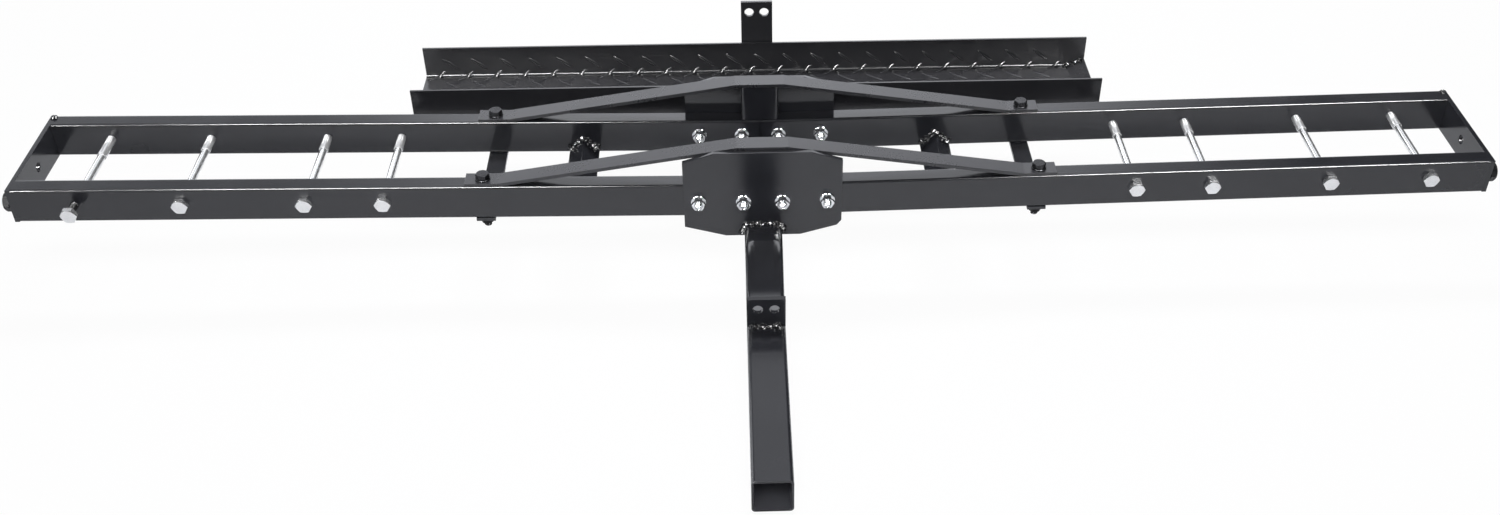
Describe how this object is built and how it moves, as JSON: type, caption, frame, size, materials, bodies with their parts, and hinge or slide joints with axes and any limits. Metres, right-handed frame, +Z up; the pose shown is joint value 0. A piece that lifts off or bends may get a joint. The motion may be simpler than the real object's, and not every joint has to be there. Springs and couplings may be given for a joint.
{
  "type": "hitch motorcycle carrier",
  "caption": "Receiver-hitch motorcycle carrier: two tube rails with rungs on a bent square tube, braced by bent straps, with a tread-plate loading ramp behind.",
  "frame": {"origin": "centre of the hitch pin hole in the receiver shank", "axes": "+X along the rails and the hitch pin, +Y away from the vehicle, +Z up"},
  "size_m": [1.9808, 0.7735, 0.252],
  "materials": {
    "black_coat": "semi-gloss powder coat",
    "tread_plate": "semi-gloss powder coat on tread plate",
    "black_oxide": "black oxide",
    "zinc_plate": "bright zinc",
    "bare_steel": "plain"
  },
  "bodies": {
    "carrier": {"front_rail_left": "black_coat", "front_rail_right": "black_coat", "rear_rail_left": "black_coat", "rear_rail_right": "black_coat", "end_plate_left": "black_coat", "end_plate_right": "black_coat", "cross_angle_left": "black_coat", "cross_angle_right": "black_coat", "front_center_plate": "black_coat", "rear_center_plate": "black_coat", "hitch_tube": "black_coat", "anti_tilt_tab": "black_coat", "ramp_bracket": "black_coat", "truss_strap_front": "black_coat", "truss_strap_rear": "black_coat", "truss_spacer_front": "black_coat", "truss_spacer_rear": "black_coat", "cross_strap_left": "black_coat", "cross_strap_right": "black_coat", "end_bolts": "black_oxide", "truss_bolts": "black_oxide", "truss_washers": "black_oxide", "truss_nuts": "black_oxide", "plate_bolts": "zinc_plate", "plate_nuts": "zinc_plate", "plate_washers": "zinc_plate", "rung_bolts": "zinc_plate", "rung_sleeve_nuts": "zinc_plate", "rail_end_plugs": "bare_steel"},
    "ramp": {"loading_ramp": "tread_plate"}
  },
  "joints": [
    {"name": "ramp_lift", "type": "slide", "parent": "carrier", "child": "ramp", "axis": [0, 0, 1], "range_m": [0, 0.15]}
  ]
}
